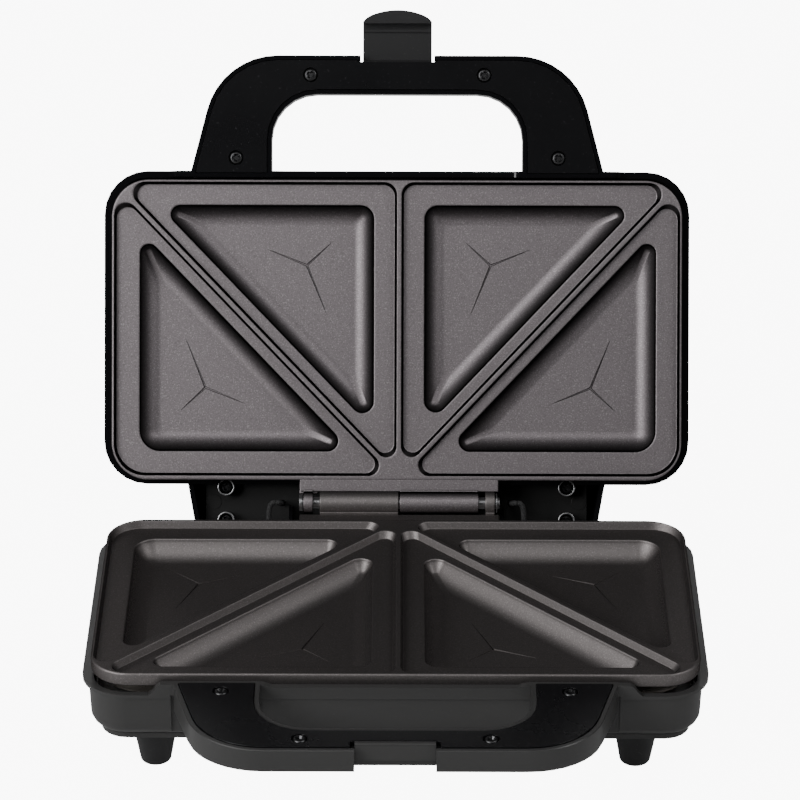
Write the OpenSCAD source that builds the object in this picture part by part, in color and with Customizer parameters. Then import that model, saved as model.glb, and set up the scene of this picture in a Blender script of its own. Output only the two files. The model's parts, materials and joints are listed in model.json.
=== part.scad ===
// Two-slice deep-fill sandwich toaster, shown with its lid open.
// X is across, -Y is the handle side, +Z is up. The feet stand on Z = 0.
// Base pieces are drawn round the hinge axis. Lid pieces are drawn round the
// same axis in the closed position and are then swung open.

/* [Cooking plates] */
// Width of each cast plate
plate_w = 250; // [240:1:256]
// Front-to-back length of each cast plate
plate_d = 132; // [126:1:136]
// Thickness of the casting at its rim
plate_t = 6; // [5:0.5:7]
// Radius of the plate corners
plate_r = 16.5; // [14:0.5:18]
// Flat border round the plate
rim_w = 2.2; // [1.6:0.1:3]
// Width of the sealing ridges between the pockets
ridge_w = 2; // [1.6:0.1:2.6]
// Depth of the crust bands
crust_depth = 3; // [2:0.5:3.5]
// Width of the crust band along the edges of the plate
crust_w = 10; // [9:0.5:12]
// Width of the crust band along the diagonal ridge
crust_diag_w = 5.6; // [5:0.2:7]
// Depth of the filling pockets below the crust bands
pocket_depth = 8.5; // [6:0.5:9]

/* [Hinge] */
// Height of the hinge axis above the table
hinge_z = 51.4; // [50:0.2:54]
// Distance from the hinge axis to the rear edge of a plate
hinge_back = 9.5; // [9:0.5:11]
// Height of the hinge axis over the rim of the base plate
hinge_rise = 3; // [2.5:0.5:4]
// Angle between the plates with the lid open against its stop
open_angle = 115.8; // [100:0.1:118]
// Radius of the hinge knuckles
knuckle_r = 5; // [4.8:0.1:5.2]
// Radius of the hinge pin
pin_r = 2.5; // [2:0.1:2.8]
// Place of the joint line between the two long knuckles
knuckle_shift = 1.2; // [-1:0.1:1.5]

/* [Housings] */
// Width of a housing over its flange
flange_w = 257; // [256:0.5:260]
// Distance from the hinge axis to the front of the flange
flange_front = 145.2; // [145:0.1:146]
// Distance from the hinge axis to the back of the housing
flange_rear = 7.6; // [7.4:0.1:8]
// Height of the housing walls below the flange
wall_h = 21; // [20:0.1:21.4]
// Thickness of the moulded walls
wall_t = 2.2; // [1.8:0.1:2.4]

/* [Handles] */
// Half-width of a handle where it meets the housing
handle_root = 90.3; // [88:0.1:91]
// Distance from the hinge axis to the front of the handles
handle_front = 195.8; // [194:0.1:197]
// Half-width of the grip hole
grip_w = 55; // [54:0.5:56]
// Distance from the hinge axis to the front of the grip hole
grip_front = 178.8; // [176:0.1:180]
// Thickness of a handle at its front edge
handle_t = 10.9; // [10:0.1:11.5]

/* [Latch] */
// Width of the latch
latch_w = 30.2; // [28:0.2:31]
// Length of the latch from its pivot to its tip
latch_len = 24.3; // [24:0.1:25]

/* [Hidden] */
$fn = 48;
e = 0.01;

// Levels in the hinge frame, counted down from the axis
rim_z = -hinge_rise;
slab_z = rim_z - plate_t;
cover_z = rim_z - 2.2;
lip_z = cover_z - 0.5;
flange_z = rim_z - 8;
mid_rim_z = rim_z - 4;
bulge_t = 2.2;
bulge_z = rim_z - crust_depth - pocket_depth - bulge_t;
sheet_t = 0.6;
sheet_z = bulge_z - 0.3;
deck_t = 2;
deck_z = sheet_z - sheet_t;
wall_z = flange_z - wall_h;
floor_t = 2.4;
floor_z = wall_z - floor_t;
foot_z = -hinge_z;
foot_h = floor_z - foot_z;
flange_t = 1.5;
flange_r = 19;
wall_side = 2.6;
wall_end = 0.7;
wall_r = 16;
handle_z = lip_z - handle_t;
handle_slope = 0.07;

// Widths and places shared by several pieces
half_w = plate_w / 2;
plate_front = hinge_back + plate_d;
cell_x = half_w - rim_w;
cell_y = plate_d - rim_w;
seam = 0.25;
rim_t = 1.9;
screw_xy = [[38, -187.2], [70.6, -150.9]];
post_x = (cell_x + ridge_w / 2) / 2;
post_xy = [[0, -27], [0, -118], [-post_x, -75.5], [post_x, -75.5]];
foot_xy = [99.1, -128, -15];
saddle_xy = [[-116, -45], [-116, -106], [116, -45], [116, -106]];
elem_r = 3.2;
elem_z = slab_z - elem_r;
elem_x = 116;
elem_bend = 12;
elem_back = -17.5;
elem_front = -134.5;
elem_gap = 26;
pivot = [-191.5, 9.4];
hub_r = 2.5;
latch_pin_r = 1.2;
leg_v = [2, 4.5];
lip_u = 18.4;
ridge_u = 14.8;
slot_w = latch_w / 2 + 1.15;
notch_w = slot_w + 1.75;
bar_z = [-12.5, -4.7];
bar_y = [-192.1, -189.2];
latch_back = (pivot[0] - latch_len) * cos(open_angle) + (pivot[1] + leg_v[1]) * sin(open_angle);
hinge_y = (handle_front - latch_back) / 2;
lead_x = 50.6;
rib_x = 46.3;
rib_t = 1.6;
pilot_r = 1.3;
clear_r = 1.7;
seat_t = 1.4;
rear_y = 17;
top_z = 34;
ext_root = 92.9;
ext_tip = 87.3;

// Outward normal angle of the edge from a to b of a counter-clockwise outline
function edge_angle(a, b) = atan2(a[0] - b[0], b[1] - a[1]);
function unit(v) = v / norm(v);

// Convex counter-clockwise outline, moved in by inset, its corners rounded
function rounded(pts, radii, inset = 0, seg = 6) = [
    for (i = [0:len(pts) - 1])
        let (n = len(pts), a = pts[(i + n - 1) % n], v = pts[i], b = pts[(i + 1) % n],
             half = acos(unit(a - v) * unit(b - v)) / 2,
             toward = unit(unit(a - v) + unit(b - v)),
             r = max(radii[i] - inset, 0.35 * radii[i]),
             c = v + toward * (inset + r) / sin(half),
             a1 = edge_angle(a, v), turn = 180 - 2 * half)
        for (k = [0:seg]) c + r * [cos(a1 + turn * k / seg), sin(a1 + turn * k / seg)]];

// Skin over the same outline at several levels. Each entry of profile is
// [inset, height] from the bottom up, and slope lifts a level along Y.
module loft(pts, radii, profile, seg = 6, slope = 0, y0 = 0) {
    rings = [for (p = profile) [for (q = rounded(pts, radii, p[0], seg))
             [q[0], q[1], p[1] - (len(p) > 2 ? slope * (q[1] - y0) : 0)]]];
    n = len(rings[0]);
    m = len(rings);
    polyhedron([for (g = rings) each g],
               [[for (k = [n - 1:-1:0]) n - 1 - k],
                for (j = [0:m - 2], k = [0:n - 1])
                    [j * n + k, (j + 1) * n + k, (j + 1) * n + (k + 1) % n, j * n + (k + 1) % n],
                [for (k = [0:n - 1]) m * n - 1 - k]]);
}

function box2(x, y0, y1) = [[-x, y0], [x, y0], [x, y1], [-x, y1]];
function flip_x(pts) = [for (i = [len(pts) - 1:-1:0]) [-pts[i][0], pts[i][1]]];
function back(list) = [for (i = [len(list) - 1:-1:0]) list[i]];

module at_base() { translate([0, hinge_y, hinge_z]) children(); }
module at_lid() { translate([0, hinge_y, hinge_z]) rotate([-open_angle, 0, 0]) children(); }
module turned() { rotate([0, 180, 0]) children(); }
module mirrored() { mirror([0, 0, 1]) children(); }

// Cast cooking plates, drawn with the rim on top at Z = 0

// Moves each edge of a convex outline inwards by its own distance
function moved(pts, d) = [
    for (i = [0:len(pts) - 1])
        let (n = len(pts), v = pts[i],
             u = unit(pts[(i + n - 1) % n] - v), w = unit(pts[(i + 1) % n] - v),
             s = abs(u[0] * w[1] - u[1] * w[0]))
        v + u * d[i] / s + w * d[(i + n - 1) % n] / s];

// Corners of the left cell: front outer, front centre, rear centre, rear outer
fo = [-cell_x, -cell_y];
fc = [-ridge_w / 2, -cell_y];
rc = [-ridge_w / 2, -rim_w];
ro = [-cell_x, -rim_w];
half_ridge = ridge_w / 2;
diag_w = half_ridge + crust_diag_w;
crust_tris = [[moved([fo, fc, rc], [0, 0, half_ridge]), [4.6, 5.5, 4.6]],
              [moved([fo, rc, ro], [half_ridge, 0, 0]), [5.4, 4.6, 13.5]]];
pocket_tris = [[moved([fo, fc, rc], [crust_w, crust_w, diag_w]), [5, 6, 5]],
               [moved([fo, rc, ro], [diag_w, crust_w + 0.6, crust_w + 0.4]), [5, 5, 9]]];
crust_cut = [[1.5, -crust_depth], [0.9, 0.4 - crust_depth], [0, -0.3], [-0.35, 0], [-0.35, 1]];
pocket_wall = [[9, 1], [7.4, 0.975], [5.8, 0.87], [4.2, 0.66], [0.9, 0.13], [0.1, 0.03], [-0.5, -0.02]];
pocket_cut = [for (p = pocket_wall) [p[0], -crust_depth - pocket_depth * p[1]]];
bulge_low = -crust_depth - pocket_depth - bulge_t;
bulge_skin = [[5.6, bulge_low], [3.2, bulge_low + 1], [1.2, bulge_low + bulge_t + 0.25 * pocket_depth],
              [-0.8, 0.4 - plate_t], [-0.8, 2 - plate_t]];
// Score lines on the pocket floors: where they meet and how each one runs
star_mid = [-38.9, -94.5];
star_arms = [[-21, -8.3], [13.6, -12.4], [10.5, 26.3]];
cell_mid = [-(cell_x + half_ridge) / 2, -(cell_y + rim_w) / 2];
score_w = 1.1;
score_tip = 0.3;
score_depth = 0.35;
tongue_w = 43.5;
lug_x = [37.6, 41.8];
long_x = [0.25, 34.7];

module tri_lofts(tris, profile) {
    for (t = tris) {
        loft(t[0], t[1], profile);
        loft(flip_x(t[0]), back(t[1]), profile);
    }
}

module score_star(mid, way) {
    for (a = star_arms)
        translate([mid[0], mid[1], -crust_depth - pocket_depth - score_depth])
            rotate([0, 0, atan2(way * a[1], way * a[0])]) linear_extrude(1)
                polygon([[0, -score_w / 2], [norm(a), -score_tip / 2], [norm(a), score_tip / 2],
                         [0, score_w / 2]]);
}

module score_lines() {
    score_star(star_mid, 1);
    score_star(2 * cell_mid - star_mid, -1);
}

module x_rod(x0, x1, r) { translate([x0, 0, 0]) rotate([0, 90, 0]) cylinder(h = x1 - x0, r = r); }

// A cast plate. The long knuckle is on its left and the short lug on its right.
module cast_plate(shift, bore_r) {
    difference() {
        union() {
            loft(box2(half_w, -plate_d, 0), all4(plate_r),
                 [[0.6, -plate_t], [0, -1], [0.3, -0.3], [1, 0]], 8);
            tri_lofts(pocket_tris, bulge_skin);
            for (p = post_xy) translate([p[0], p[1] + hinge_back, deck_z - rim_z])
                cylinder(h = rim_z - deck_z - plate_t + 1, r = 4);
            translate([-tongue_w + shift, -2, -plate_t]) cube([2 * tongue_w, 6.8, plate_t - 0.1]);
            translate([shift + lug_x[0] - 2.1, 4, -plate_t]) cube([8.4, 2, plate_t - 0.1]);
            translate([0, hinge_back, hinge_rise]) {
                x_rod(shift - long_x[1], shift - long_x[0], knuckle_r);
                x_rod(shift + lug_x[0], shift + lug_x[1], knuckle_r);
                translate([shift - long_x[1], -knuckle_r - 0.4, -hinge_rise - plate_t])
                    cube([long_x[1] - long_x[0], knuckle_r, plate_t + 1.5]);
                translate([shift + lug_x[0], -knuckle_r - 0.4, -hinge_rise - plate_t])
                    cube([lug_x[1] - lug_x[0], knuckle_r, plate_t + 1.5]);
            }
        }
        tri_lofts(crust_tris, crust_cut);
        tri_lofts(pocket_tris, pocket_cut);
        score_lines();
        mirror([1, 0, 0]) score_lines();
        translate([0, hinge_back, hinge_rise]) x_rod(-half_w, half_w, bore_r);
        for (p = post_xy) translate([p[0], p[1] + hinge_back, deck_z - rim_z - e]) cylinder(h = 8, r = 1.4);
    }
}

// Mouldings shared by the base and the lid, drawn for the base

handle_slant = 0.26;
handle_back = plate_front + 0.8;
handle_pts = [[-handle_root + handle_slant * (handle_front - flange_front), -handle_front],
              [handle_root - handle_slant * (handle_front - flange_front), -handle_front],
              [handle_root + handle_slant * (flange_front - handle_back), -handle_back],
              [-handle_root - handle_slant * (flange_front - handle_back), -handle_back]];
handle_radii = [32, 32, 1.5, 1.5];
grip_pts = box2(grip_w, -grip_front, 1 - handle_back);
grip_radii = [20, 20, 3, 3];
cover_t = 2.2;
cover_edge = rim_t + seam;
wall_pts = box2(flange_w / 2 - wall_side, -flange_front + wall_end, -flange_rear - wall_end);
ext_pts = [[-ext_root, -14], [ext_root, -14], [ext_tip, rear_y], [-ext_tip, rear_y]];
shoulder_x = 100.5;
notch_x = 50;
wall_draft = 0.035;
flange_pts = box2(flange_w / 2, -flange_front, -flange_rear);
function all4(r) = [r, r, r, r];

// Rounded bottom edge of a drafted wall, as loft levels, moved in by t
function edge_round(r, z, t = 0) = [for (a = [0:15:90])
    [t + (r - t) * (1 - sin(a)) + wall_draft * (flange_z - z - r * (1 - cos(a))),
     z + t + (r - t) * (1 - cos(a))]];

module outline(pts, radii, inset = 0) { polygon(rounded(pts, radii, inset)); }
module slab(z0, z1) { translate([0, 0, z0]) linear_extrude(z1 - z0) children(); }

// Upright front wall over the flange, with its shoulders and its middle notch
module front_panel(low) {
    half = [[0, mid_rim_z], [notch_x, mid_rim_z], [notch_x + 1.6, mid_rim_z + 0.8],
            [notch_x + 2.6, lip_z - 0.4], [grip_w - 1, lip_z], [grip_w + rim_t, lip_z],
            [grip_w + rim_t, cover_z - cover_t - 0.1], [handle_root - 1, cover_z - cover_t - 0.1],
            [handle_root - 1, lip_z], [shoulder_x - 5, lip_z - 0.2], [shoulder_x - 3.4, lip_z - 1.4],
            [shoulder_x - 1.8, flange_z + 1.6], [shoulder_x, flange_z + 0.1], [shoulder_x, low], [0, low]];
    translate([0, -flange_front + 2.6, 0]) rotate([90, 0, 0]) linear_extrude(2.6) {
        polygon(half);
        mirror([1, 0]) polygon(half);
    }
}

module handle_shell() {
    difference() {
        loft(handle_pts, handle_radii,
             [[2.4, handle_z, 1], [0.8, handle_z + 0.7, 1], [0, handle_z + 2.4, 1],
              [0, lip_z - 0.3], [0.3, lip_z]], 8, handle_slope, -handle_front);
        difference() {
            loft(handle_pts, handle_radii,
                 [[rim_t + 0.6, handle_z + 2.4, 1], [rim_t, handle_z + 3.4, 1], [rim_t, 0]],
                 8, handle_slope, -handle_front);
            slab(-40, lip_z) outline(grip_pts, grip_radii, -rim_t);
            for (p = screw_xy, s = [-1, 1]) translate([s * p[0], p[1], -30])
                cylinder(h = 30 + cover_z - cover_t - 0.1, r = 3.4);
            children();
        }
        slab(-40, 0) outline(grip_pts, grip_radii);
        for (p = screw_xy, s = [-1, 1]) translate([s * p[0], p[1], handle_z + 1.2])
            cylinder(h = 20, r = pilot_r);
    }
}

module handle_cover(notch_y) {
    difference() {
        slab(cover_z - cover_t, cover_z) outline(handle_pts, handle_radii, cover_edge);
        slab(-40, 0) outline(grip_pts, grip_radii, -cover_edge);
        translate([-grip_w - cover_edge, -flange_front, -30]) cube([2 * (grip_w + cover_edge), 10, 30]);
        for (p = screw_xy, s = [-1, 1]) translate([s * p[0], p[1], 0]) {
            translate([0, 0, cover_z - seat_t]) cylinder(h = 3, r = 3.3);
            translate([0, 0, -20]) cylinder(h = 20, r = clear_r);
        }
        slab(-30, 1) outline(box2(notch_w, -handle_front - 5, notch_y), all4(1.5));
    }
}

// Cross-head screw with its head up, the underside of the head at Z = 0
module screw(r, len, head) {
    difference() {
        union() {
            cylinder(h = head, r = r);
            translate([0, 0, -len]) cylinder(h = len + e, r = 0.44 * r);
        }
        for (a = [0, 90]) rotate([0, 0, a])
            translate([-0.6 * r, -0.14 * r, head - 0.3 * r]) cube([1.2 * r, 0.28 * r, r]);
    }
}

module handle_screws() {
    for (p = screw_xy, s = [-1, 1]) translate([s * p[0], p[1], cover_z - seat_t + e])
        rotate([0, 0, 20 + p[0] * s]) screw(2.8, 7.4, 1.2);
}

module plate_screws() {
    for (p = post_xy) translate([p[0], p[1], deck_z - deck_t]) rotate([180, 0, 0]) screw(3, 8.5, 2);
}

module element() {
    translate([0, 0, elem_z]) {
        for (s = [-1, 1]) {
            translate([s * elem_gap / 2, elem_back, 0]) sphere(elem_r);
            translate([s * elem_gap / 2, elem_back, deck_z - deck_t - elem_z - 3])
                cylinder(h = elem_z - deck_z + deck_t + 3, r = elem_r);
            translate([s * elem_gap / 2, elem_back, deck_z - deck_t - elem_z - 6]) cylinder(h = 4, r = 1.2);
            translate([s * elem_x, elem_front + elem_bend, 0]) rotate([-90, 0, 0])
                cylinder(h = elem_back - elem_front - 2 * elem_bend, r = elem_r);
        }
        translate([0, elem_back, 0]) {
            x_rod(elem_gap / 2, elem_x - elem_bend, elem_r);
            x_rod(elem_bend - elem_x, -elem_gap / 2, elem_r);
        }
        translate([0, elem_front, 0]) x_rod(elem_bend - elem_x, elem_x - elem_bend, elem_r);
        for (c = [[1, elem_back - elem_bend, 0], [-1, elem_back - elem_bend, 90],
                  [-1, elem_front + elem_bend, 180], [1, elem_front + elem_bend, 270]])
            translate([c[0] * (elem_x - elem_bend), c[1], 0])
                rotate([0, 0, c[2]]) rotate_extrude(angle = 90) translate([elem_bend, 0]) circle(elem_r);
    }
}

module saddles() {
    difference() {
        for (p = saddle_xy) translate([p[0] - 4.5, p[1] - 4, sheet_z]) cube([9, 8, elem_z - sheet_z]);
        for (s = [-1, 1]) translate([s * elem_x, -200, elem_z]) rotate([-90, 0, 0])
            cylinder(h = 200, r = elem_r + 0.05);
    }
}

module reflector() {
    difference() {
        slab(sheet_z - sheet_t, sheet_z + 3.4) outline(wall_pts, all4(wall_r), wall_t + 1);
        slab(sheet_z, 0) outline(wall_pts, all4(wall_r), wall_t + 1 + sheet_t);
        for (p = post_xy) translate([p[0], p[1], -30]) cylinder(h = 30, r = 4.6);
        for (s = [-1, 1]) translate([s * elem_gap / 2, elem_back, -30]) cylinder(h = 30, r = elem_r + 0.8);
        translate([0, stat_y, -30]) cylinder(h = 30, r = 5);
    }
}

// Flanged tub, its walls drafted and its lower edge rounded
module tub(z_end, r) {
    slab(flange_z - flange_t, flange_z) outline(flange_pts, all4(flange_r));
    loft(wall_pts, all4(wall_r), [each edge_round(r, z_end), [0, flange_z - 1]]);
}

function square_to(v, way) = unit(v - (v * way) * way);

// Side vectors of the rings of a wire, carried along its path without a twist
function carried(ways) = [
    for (i = 0, side = square_to(abs(ways[0][2]) > 0.9 ? [0, 1, 0] : [0, 0, 1], ways[0]);
         i < len(ways);
         i = i + 1, side = square_to(side, ways[min(i, len(ways) - 1)])) side];

// Round wire or sleeve along a list of points, square to its path at each
module wire(pts, r, n = 8) {
    last = len(pts) - 1;
    ways = [for (i = [0:last]) unit(pts[min(i + 1, last)] - pts[max(i - 1, 0)])];
    sides = carried(ways);
    rings = [for (i = [0:last])
        let (up = cross(sides[i], ways[i]))
        [for (k = [0:n - 1]) pts[i] + r * (sides[i] * cos(360 * k / n) + up * sin(360 * k / n))]];
    polyhedron([for (g = rings) each g],
               [[for (k = [0:n - 1]) k],
                for (j = [0:last - 1], k = [0:n - 1])
                    [j * n + k, j * n + (k + 1) % n, (j + 1) * n + (k + 1) % n, (j + 1) * n + k],
                [for (k = [0:n - 1]) last * n + n - 1 - k]]);
}

// Solid left round the latch opening in a handle
module latch_block(y0, y1, z0, z1) {
    translate([-notch_w - 0.8, y0, z0]) cube([2 * (notch_w + 0.8), y1 - y0, z1 - z0]);
}

module slot_cut(y0, y1) { translate([-slot_w, y0, -40]) cube([2 * slot_w, y1 - y0, 40]); }

// Base

boss_xy = [[60, -26], [60, -128]];
inlet = [103, -8.6, -24.5];
inlet_r = 3.25;
bush_r = 4.6;
stat_y = -72;
recess_y = -188.2;
groove_x = 88.95;
groove_w = 4.9;
groove_depth = 2.4;
groove_low = -27;
terminal_top = -21.1;
block_top = -17.7;
bar_half = (bar_y[1] - bar_y[0]) / 2;
bar_w = slot_w - 0.15;
block_z = cover_z - cover_t - 0.1;
sleeve_r = 1.2;
// Each lead bends away from the hinge axis, where it twists as the lid turns
base_run = [[2.4, 0, 0], [3.4, 0, 0], [4.5, -0.2, -1.2], [5.1, -1, -4], [5.3, -2.6, -9.5],
            [5.4, -4.4, -13.2], [5.4, -6.2, -15.4], [5.4, -8, -16.3], [5.4, -10.9, -16.4]];
lid_run = [[2.1, 0, 0], [1.1, 0, 0], [0.3, 0.1, 0.9], [0, 0.2, 2.4], [0, 0.6, 6], [0, 1, 24]];
base_lead = [for (p = base_run) [-lead_x - p[0], p[1], p[2]]];
lid_lead = [for (p = lid_run) [-lead_x - p[0], p[1], p[2]]];
lead_end = base_lead[len(base_lead) - 1];

module base_housing() color("#2b2b2d") at_base() {
    difference() {
        union() {
            difference() {
                tub(wall_z, 6);
                slab(deck_z, 0) outline(wall_pts, all4(wall_r), wall_t);
                loft(wall_pts, all4(wall_r),
                     [[7.8, wall_z - 1], [7.8, wall_z + 0.3], [4.4, wall_z + 2.6], [3, wall_z + 6],
                      [2.6, deck_z - deck_t]]);
            }
            front_panel(flange_z - flange_t);
            handle_shell() latch_block(-handle_front, recess_y + 1.6, -20, block_z);
            for (s = [-1, 1]) {
                translate([s * groove_x - groove_w / 2 - 1.8, -flange_front + 1.2, groove_low])
                    cube([groove_w + 3.6, 2.65, flange_z + 0.4 - groove_low]);
                for (p = boss_xy) translate([s * p[0], p[1], wall_z + 0.1])
                    cylinder(h = deck_z - wall_z - 1, r = 3.2);
            }
            translate([inlet[0] - 7, -14, wall_z]) cube([14, 14 + inlet[1], block_top - wall_z]);
        }
        slot_cut(-handle_front - 1, recess_y);
        for (s = [-1, 1]) {
            translate([s * groove_x - groove_w / 2, -flange_front - 1, -40])
                cube([groove_w, 1 + groove_depth, 40 + flange_z]);
            for (p = boss_xy) translate([s * p[0], p[1], wall_z - e]) cylinder(h = 8.5, r = pilot_r);
            translate([s * elem_gap / 2, elem_back, -30]) cylinder(h = 30, r = elem_r + 0.6);
            translate([s * lead_end[0], -16, lead_end[2]]) rotate([-90, 0, 0])
                cylinder(h = 12, r = sleeve_r + 0.6);
        }
        for (p = post_xy) translate([p[0], p[1], -30]) cylinder(h = 30, r = clear_r);
        translate([0, stat_y, -30]) cylinder(h = 30, r = 5.5);
        translate([inlet[0], -20, inlet[2]]) rotate([-90, 0, 0]) cylinder(h = 20, r = bush_r + 0.05);
    }
    // Rounded bar that the latch hooks under, rooted in the block below the cover
    translate([0, (bar_y[0] + bar_y[1]) / 2, 0]) {
        translate([-slot_w - 1, -bar_half, bar_z[0]])
            cube([2 * slot_w + 2, 2 * bar_half, block_z - bar_z[0]]);
        translate([-bar_w, -bar_half, bar_z[0] + 1])
            cube([2 * bar_w, 2 * bar_half, bar_z[1] - bar_z[0] - bar_half - 0.95]);
        translate([0, 0, bar_z[1] - bar_half]) x_rod(-bar_w, bar_w, bar_half);
    }
}

head_seat = 1.5;

module base_bottom_cover() color("#222224") at_base() difference() {
    slab(floor_z, wall_z) outline(wall_pts, all4(wall_r), 4.8);
    for (s = [-1, 1], p = boss_xy) translate([s * p[0], p[1], floor_z - e]) {
        cylinder(h = head_seat + 2 * e, r = 3.4);
        cylinder(h = 6, r = clear_r);
    }
    for (s = [-1, 1], y = [foot_xy[1], foot_xy[2]]) translate([s * foot_xy[0], y, floor_z - e])
        cylinder(h = 6, r = 2.3);
    for (i = [-4:4]) translate([i * 9 - 1.3, -96, -40]) cube([2.6, 44, 20]);
}

// Foot with a spigot that fills its hole in the bottom cover
module foot(side, y) color("#1d1d1f") at_base() translate([side * foot_xy[0], y, foot_z]) rotate_extrude()
    polygon([[0, 0], [5.5, 0], [6.1, 0.3], [6.4, 1], [9.1, foot_h - 0.8], [9.1, foot_h], [2.2, foot_h],
             [2.2, foot_h + floor_t - 0.1], [0, foot_h + floor_t - 0.1]]);

module foot_front_left() foot(-1, foot_xy[1]);
module foot_front_right() foot(1, foot_xy[1]);
module foot_rear_left() foot(-1, foot_xy[2]);
module foot_rear_right() foot(1, foot_xy[2]);

module base_cover_screws() color("#b8b8b8") at_base()
    for (s = [-1, 1], p = boss_xy) translate([s * p[0], p[1], floor_z + head_seat - 0.02])
        rotate([180, 0, 0]) screw(2.9, 8, 1.2);

module base_handle_cover() color("#17171a") at_base() handle_cover(-189);
module base_handle_screws() color("#a8a8aa") at_base() handle_screws();

module base_plate() color("#3a3838") at_base()
    translate([0, -hinge_back, rim_z]) cast_plate(knuckle_shift, pin_r + 0.02);

module base_plate_screws() color("#b8b8b8") at_base() plate_screws();
module base_element() color("#8e8a86") at_base() element();
module base_element_saddles() color("#c9c9c9") at_base() saddles();
module base_reflector() color("#d6d6d6") at_base() reflector();

module thermostat() color("#d9d3c4") at_base() translate([0, stat_y, 0]) {
    translate([0, 0, slab_z - 6]) cylinder(h = 6, r = 7);
    translate([0, 0, slab_z - 9]) cylinder(h = 3.5, r = 4);
    for (s = [-1, 1]) translate([s * 2.6 - 0.4, -1.5, slab_z - 17]) cube([0.8, 3, 9]);
}

module thermal_fuse() color("#cfcfd2") at_base() translate([36, -62, -22.6]) {
    x_rod(-6, 6, 2);
    x_rod(-14, 14, 0.5);
}

module terminal_block() color("#e8e4d8") at_base() difference() {
    translate([78, -52, wall_z]) cube([12, 26, terminal_top - wall_z]);
    for (i = [0:2]) translate([84, -47 + 8 * i, terminal_top - 4.4]) cylinder(h = 6, r = 2);
}

module cord_bushing() color("#1b1b1d") at_base()
    translate([inlet[0], 0, inlet[2]]) rotate([-90, 0, 0]) difference() {
        union() {
            translate([0, 0, -22]) cylinder(h = 16, r = bush_r);
            translate([0, 0, inlet[1] + 0.35]) cylinder(h = 2.25, r = 5.6);
        }
        translate([0, 0, -23]) cylinder(h = 20, r = inlet_r);
    }

// Each wire stops just short of the terminal that it serves
module base_wiring() color("#c2392f") at_base() {
    wire([[103, -23.8, -24.5], [102.6, -28, -24.5], [100, -34, -24.7],
          [95, -38.6, -24.8], [90.4, -39, -24.8]], 1.9);
    wire([[77.6, -31, -25], [72, -31, -25], [60, -36, -26], [24, -32, -26], [14, -26, -25],
          [13, -22, -24.6], [13, -19, -24.6]], 1.2);
    wire([[77.6, -47, -25], [72, -47, -25], [64, -55, -24], [56, -61, -22.6], [50.2, -62, -22.6]], 1.2);
    wire([[21.6, -62, -22.6], [16, -62, -22.6], [10, -69, -24.4], [6.5, -72, -24.5], [3.3, -72, -24.5]], 1.2);
    wire([[-3.4, -72, -24.5], [-5.8, -72, -24.5], [-9, -62, -26], [-12, -34, -26], [-13, -25, -25],
          [-13, -22, -24.6], [-13, -19, -24.6]], 1.2);
}

module both_sides() {
    children();
    mirror([1, 0, 0]) children();
}

module base_lead_sleeves() color("#19191b") at_base() both_sides() wire(base_lead, sleeve_r, 12);

// Hinge

pin_ends = [-42.4, 45.1];
clip_x = [43.4, 44.2];

module hinge_pin() color("#c6c6c8") at_base() difference() {
    union() {
        x_rod(pin_ends[0], pin_ends[1], pin_r);
        x_rod(pin_ends[0], pin_ends[0] + 1.5, 3.6);
    }
    difference() {
        x_rod(clip_x[0], clip_x[1], pin_r + 1);
        x_rod(clip_x[0] - 1, clip_x[1] + 1, pin_r - 0.6);
    }
}

module hinge_clip() color("#77777a") at_base() difference() {
    x_rod(clip_x[0] + 0.1, clip_x[1] - 0.1, 4.2);
    x_rod(clip_x[0] - 1, clip_x[1] + 1, pin_r - 0.5);
    translate([clip_x[0] - 1, -1.6, -6]) cube([3, 3.2, 6]);
}

// Lid, drawn closed and then swung open

lid_screw_y = [-6.2, 8.4];
lid_screw_x = 75;
lamp_at = [13, -40];
lamp_r = 4;
rear_panel_z = 19.4;
ext_z = 12.2;

// Shell behind the hinge, its upper and rear edges rounded
module rear_shell() {
    mirrored() difference() {
        loft(ext_pts, [1, 1, 4, 4], [each edge_round(7, -top_z), [0, -ext_z]]);
        translate([-100, -20, -40]) cube([200, 20 - flange_rear - wall_t, 40]);
        intersection() {
            loft(ext_pts, [1, 1, 4, 4], [each edge_round(7, -top_z, wall_t), [wall_t, -ext_z + 1]]);
            translate([-100, -flange_rear, -40]) cube([200, 40, 40]);
        }
    }
}

module stop_ribs() {
    for (s = [-1, 1]) translate([s * rib_x - rib_t / 2, 0, 0]) rotate([90, 0, 90]) linear_extrude(rib_t)
        polygon([[2, 24], [2, 8], [8, 2], [17.4, 0.6], [17.9, 1.2], [17.9, 13], [16, 24]]);
}

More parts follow.
